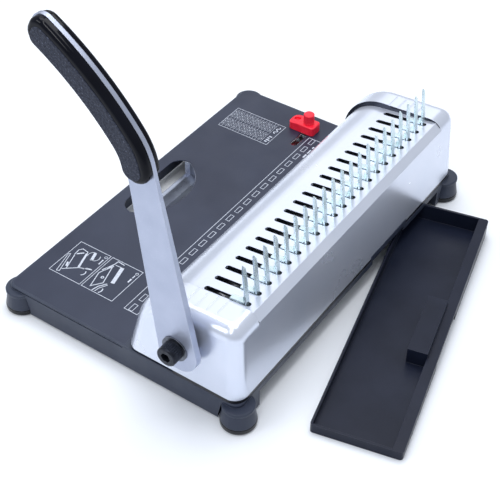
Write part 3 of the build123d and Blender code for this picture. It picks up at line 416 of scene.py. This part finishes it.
def offset(points, distance, closed):
    """The polyline moved sideways by distance, mitred at its corners."""
    n = len(points)
    moved = []
    for i, point in enumerate(points):
        p = Vector(point)
        before = Vector(points[i - 1]) if closed or i else None
        after = Vector(points[(i + 1) % n]) if closed or i < n - 1 else None
        d1 = (p - before).normalized() if before else (after - p).normalized()
        d2 = (after - p).normalized() if after else d1
        n1, n2 = Vector((-d1.y, d1.x)), Vector((-d2.y, d2.x))
        m = (n1 + n2).normalized()
        p += m * (distance / max(m.dot(n1), MITRE_LIMIT))
        moved.append((p.x, p.y))
    return moved


def stroke(bm, points, width=LINE, closed=False):
    """A line of that width along the points."""
    left, right = offset(points, width / 2, closed), offset(points, -width / 2, closed)
    if closed:
        outer, inner = (right, left) if area(right) > area(left) else (left, right)
        prism(bm, outer, inner)
    else:
        prism(bm, right + left[::-1])


def area(points):
    """Area inside a ring of points."""
    total = 0.0
    for (x0, y0), (x1, y1) in zip(points, points[1:] + points[:1]):
        total += x0 * y1 - x1 * y0
    return abs(total) / 2


def bar(bm, start, end, width):
    stroke(bm, [start, end], width)


def box_line(bm, x0, x1, y0, y1, width=LINE):
    stroke(bm, [(x0, y0), (x1, y0), (x1, y1), (x0, y1)], width, closed=True)


def arc(cx, cy, r, start, end, steps=10):
    angles = [math.radians(start + (end - start) * k / steps) for k in range(steps + 1)]
    return [(cx + r * math.cos(a), cy + r * math.sin(a)) for a in angles]


def finish_piece(name, bm, body, material):
    """A mesh object from bm, which rides on that body."""
    bmesh.ops.recalc_face_normals(bm, faces=bm.faces)
    mesh = bpy.data.meshes.new(name)
    bm.to_mesh(mesh)
    bm.free()
    piece = bpy.data.objects.new(name, mesh)
    scene.collection.objects.link(piece)
    mesh.materials.append(material)
    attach(piece, body)
    return piece


PITCH = 14.2875                 # 9/16 inch, the trade pitch of comb holes
MARKS = 21
FIRST_MARK = -PITCH * (MARKS - 1) / 2
STRIP_X = (-147.5, 148.0)
STRIP_Y = (-20.4, -6.4)
MARK_X, MARK_Y = (-4.2, 4.4), (-16.3, -12.6)
MARK_LINE = 0.5
DASH_Y = -8.2
DASHES = ((-137.0, -134.0, 1.5), (-131.0, -124.5, 1.3), (-122.5, -116.5, 1.6))   # start, end, width


def ruler():
    """Outline strip beside the paper throat, with one open box per hook."""
    bm = bmesh.new()
    box_line(bm, *STRIP_X, *STRIP_Y)
    for k in range(MARKS):
        x = FIRST_MARK + PITCH * k
        box_line(bm, x + MARK_X[0], x + MARK_X[1], *MARK_Y, MARK_LINE)
    for x0, x1, width in DASHES:
        bar(bm, (x0, DASH_Y), (x1, DASH_Y), width)
    return finish_piece("table_ruler", bm, "base", white)


CHART_X, CHART_Y = (-148.6, -113.0), (-108.2, -49.4)
CHART_ROWS, CHART_COLUMNS = 9, 15
CHART_FRAME, CHART_RULE = 0.45, 0.2      # line widths
CHART_TITLE = 8.0                        # strip for the title, at the high Y end


def chart():
    """Size chart: a ruled grid with a dash in most cells, where figures would be, and marks along the
    title strip.
    """
    bm = bmesh.new()
    box_line(bm, *CHART_X, *CHART_Y, CHART_FRAME)
    row = (CHART_X[1] - CHART_X[0]) / CHART_ROWS
    column = (CHART_Y[1] - CHART_Y[0] - CHART_TITLE) / CHART_COLUMNS
    for i in range(1, CHART_ROWS):
        x = CHART_X[0] + row * i
        bar(bm, (x, CHART_Y[0] + 0.6), (x, CHART_Y[1] - CHART_TITLE), CHART_RULE)
    for k in range(1, CHART_COLUMNS + 1):
        y = CHART_Y[0] + column * k
        bar(bm, (CHART_X[0] + 0.5, y), (CHART_X[1] - 0.5, y), CHART_RULE)
    for i in range(CHART_ROWS):
        for k in range(CHART_COLUMNS):
            x, y = CHART_X[0] + row * (i + 0.5), CHART_Y[0] + column * (k + 0.5)
            half = 0.8 if (i * 7 + k * 3) % 4 else 0.4
            if i % 4 != 0:
                bar(bm, (x, y - half), (x, y + half), 0.5 + 0.35 * ((i + k) % 2))
    wave = [(CHART_X[0] + 4 + 0.55 * k, CHART_Y[1] - 4.2 + 1.5 * math.sin(k * 0.62)) for k in range(22)]
    stroke(bm, wave, 0.9)
    for k, length in enumerate((3.0, 4.2, 2.4, 3.6)):
        x = CHART_X[1] - 4.4 - 3.0 * k
        bar(bm, (x, CHART_Y[1] - 5.6), (x, CHART_Y[1] - 5.6 + length), 1.5)
    return finish_piece("table_chart", bm, "base", white)


FRAMES_X = (104.4, 147.7)
FRAMES_Y = ((-105.2, -70.6), (-68.4, -34.2))


def pictograms():
    """Two framed outlines of a binding machine at work, with generic marks for words."""
    bm = bmesh.new()
    for frame_y in FRAMES_Y:
        box_line(bm, *FRAMES_X, *frame_y)
    # punching: tray, lever and cover
    stroke(bm, [(145.6, -98.8), (144.6, -96.2), (122.2, -102.6), (123.2, -104.2)], 0.6, True)
    stroke(bm, [(138.6, -93.4), (121.2, -98.6)], 0.8)
    bar(bm, (131.9, -85.2), (113.9, -90.6), 2.0)
    stroke(bm, [(121.0, -99.2), (114.2, -99.8), (111.0, -97.6), (111.8, -91.2), (114.0, -90.4)], 0.8)
    stroke(bm, [(119.2, -98.0), (114.4, -93.2)], 1.4)
    stroke(bm, [(141.6, -96.4), (135.6, -89.2), (131.8, -84.6), (127.6, -73.2)], 0.8)
    stroke(bm, [(131.2, -80.4), (128.4, -78.6), (127.2, -73.6)], 0.6)
    bar(bm, (118.6, -81.6), (109.0, -84.6), 2.8)
    stroke(bm, arc(113.2, -82.0, 5.0, -20, 130), 0.6)
    stroke(bm, arc(113.4, -84.2, 4.8, 170, 300), 0.6)
    stroke(bm, arc(134.6, -79.4, 4.0, 30, 130), 1.0)
    bar(bm, (118.6, -73.2), (111.8, -73.4), 1.2)
    stroke(bm, arc(108.2, -73.2, 1.3, 0, 330), 0.5, True)
    stroke(bm, [(136.4, -95.4), (131.6, -97.4)], 1.8)
    # opening the comb: tray, cover with the comb standing on it
    tray = [(143.6, -61.6), (127.0, -66.0), (122.2, -64.6), (114.6, -60.8), (134.6, -54.8)]
    stroke(bm, tray, 0.8, True)
    bar(bm, (130.4, -47.8), (110.2, -52.8), 3.6)
    stroke(bm, [(122.4, -66.2), (110.6, -61.6), (105.8, -61.0), (106.6, -53.4)], 0.9)
    stroke(bm, [(118.2, -63.9), (112.6, -60.6)], 1.6)
    stroke(bm, [(110.8, -60.0), (110.4, -53.4)], 0.7)
    stroke(bm, [(147.0, -57.2), (140.3, -55.6), (133.6, -51.0)], 1.0)
    stroke(bm, [(146.4, -54.4), (141.6, -53.6), (134.4, -49.6)], 0.7)
    stroke(bm, arc(129.4, -59.8, 1.2, 0, 330), 0.8, True)
    stroke(bm, arc(143.0, -53.6, 4.2, 40, 130), 1.0)
    bar(bm, (121.6, -37.6), (116.6, -37.6), 1.5)
    bar(bm, (115.4, -37.6), (111.6, -37.6), 1.1)
    stroke(bm, arc(109.0, -37.4, 1.3, 0, 330), 0.5, True)
    return finish_piece("table_pictograms", bm, "base", white)


ruler()
chart()
pictograms()


# ---- floor, light and camera ----
FLOOR_HALF = 6.0                 # metres


def floor():
    """A wide pale sheet under the machine."""
    bm = bmesh.new()
    half = FLOOR_HALF
    corners = ((-half, -half), (half, -half), (half, half), (-half, half))
    bm.faces.new([bm.verts.new((x, y, 0)) for x, y in corners])
    mesh = bpy.data.meshes.new("floor")
    bm.to_mesh(mesh)
    bm.free()
    sheet = bpy.data.objects.new("floor", mesh)
    scene.collection.objects.link(sheet)
    f = Finish("floor_white", Specular_IOR_Level=0.15)
    f.colour((0.90, 0.93, 0.98, 1), (0.93, 0.955, 0.99, 1), 900, 1.0)
    f.rough(0.5, 0.6, 400)
    mesh.materials.append(f.material)


COOL_WHITE, COOLER_WHITE = (0.97, 0.98, 1.0), (0.94, 0.96, 1.0)
SKY = (0.90, 0.94, 1.0, 1)
SKY_STRENGTH = 0.56


def softbox(name, place, target, size, power, colour):
    """A rectangular light; places and sizes in metres, power in watts."""
    light = bpy.data.lights.new(name, "AREA")
    light.shape = "RECTANGLE"
    light.size, light.size_y = size
    light.energy = power
    light.color = colour
    lamp = bpy.data.objects.new(name, light)
    scene.collection.objects.link(lamp)
    lamp.location = place
    lamp.rotation_euler = (Vector(target) - Vector(place)).to_track_quat("-Z", "Y").to_euler()


CAMERA_AT = (657.92, 446.63, 716.71)                # mm
AZIMUTH, ELEVATION, ROLL = 123.66, 42.29, 1.03      # degrees
FOCAL, SENSOR = 82.18, 36.0                          # mm


def camera():
    a, e, r = (math.radians(v) for v in (AZIMUTH, ELEVATION, ROLL))
    back = Vector((math.sin(a) * math.cos(e), -math.cos(a) * math.cos(e), math.sin(e)))
    right = Vector((math.cos(a), math.sin(a), 0))
    up = back.cross(right)
    turned_right = right * math.cos(r) + up * math.sin(r)
    turned_up = up * math.cos(r) - right * math.sin(r)
    data = bpy.data.cameras.new("camera")
    data.lens = FOCAL
    data.sensor_width = SENSOR
    data.clip_start, data.clip_end = 0.02, 30.0
    eye = bpy.data.objects.new("camera", data)
    scene.collection.objects.link(eye)
    matrix = Matrix((turned_right, turned_up, back)).transposed().to_4x4()
    matrix.translation = at(*CAMERA_AT)
    eye.matrix_world = matrix
    scene.camera = eye


def surroundings():
    world = bpy.data.worlds.new("studio")
    world.use_nodes = True
    scene.world = world
    background = world.node_tree.nodes["Background"]
    background.inputs["Color"].default_value = SKY
    background.inputs["Strength"].default_value = SKY_STRENGTH


floor()
surroundings()
camera()
softbox("top_light", (-0.25, -0.15, 1.7), (0, 0, 0.05), (1.5, 1.1), 19, COOL_WHITE)
softbox("side_panel", (-1.5, -0.95, 1.5), (0, 0, 0.06), (1.5, 1.3), 5, COOL_WHITE)
softbox("front_light", (1.5, -1.0, 1.2), (0, 0, 0.1), (0.9, 0.6), 7, COOLER_WHITE)
softbox("strip_light", (0.9, 0.15, 1.5), (0.1, 0, 0.2), (0.18, 1.2), 5, COOL_WHITE)
